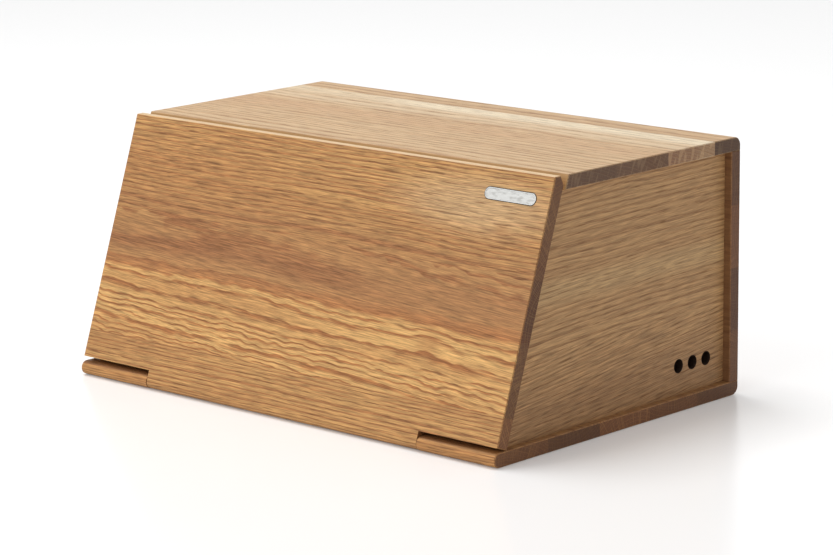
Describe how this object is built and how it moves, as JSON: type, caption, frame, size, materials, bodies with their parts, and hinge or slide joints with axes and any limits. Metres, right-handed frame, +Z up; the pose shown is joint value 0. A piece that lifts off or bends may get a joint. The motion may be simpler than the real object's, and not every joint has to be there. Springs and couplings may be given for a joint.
{
  "type": "bread box",
  "caption": "Solid oak bread box with a sloping front flap that drops open on a wooden knuckle hinge, and air holes in its sides.",
  "frame": {"origin": "on the worktop under the middle of the closed box", "axes": "+X to the right-hand end as someone facing the flap sees it, +Y to the back, +Z up"},
  "size_m": [0.4, 0.263, 0.185],
  "materials": {
    "oak_top": "oiled, satin",
    "oak_flap": "oiled, satin",
    "oak_side": "oiled, satin",
    "oak_base": "oiled, satin",
    "oak_back": "oiled, satin",
    "dowel": "plain beech",
    "pin_steel": "bright",
    "plate_metal": "polished rim, brushed field"
  },
  "bodies": {
    "case": {"base_stave_1": "oak_base", "base_stave_2": "oak_base", "base_stave_3": "oak_base", "base_stave_4": "oak_base", "base_stave_5": "oak_base", "top_stave_1": "oak_top", "top_stave_2": "oak_top", "top_stave_3": "oak_top", "top_stave_4": "oak_top", "back_stave_1": "oak_back", "back_stave_2": "oak_back", "back_stave_3": "oak_back", "back_stave_4": "oak_back", "left_side_stave_1": "oak_side", "left_side_stave_2": "oak_side", "left_side_stave_3": "oak_side", "right_side_stave_1": "oak_side", "right_side_stave_2": "oak_side", "right_side_stave_3": "oak_side", "left_hinge_pin": "pin_steel", "right_hinge_pin": "pin_steel", "left_side_dowels": "dowel", "right_side_dowels": "dowel", "back_base_dowels": "dowel", "back_top_dowels": "dowel"},
    "flap": {"flap_stave_1": "oak_flap", "flap_stave_2": "oak_flap", "flap_stave_3": "oak_flap", "name_plate": "plate_metal", "plate_pins": "pin_steel"}
  },
  "joints": [
    {"name": "flap_hinge", "type": "hinge", "parent": "case", "child": "flap", "pos_m": [0, -0.1265, 0.005], "axis": [1, 0, 0], "range_deg": [0, 109]}
  ]
}
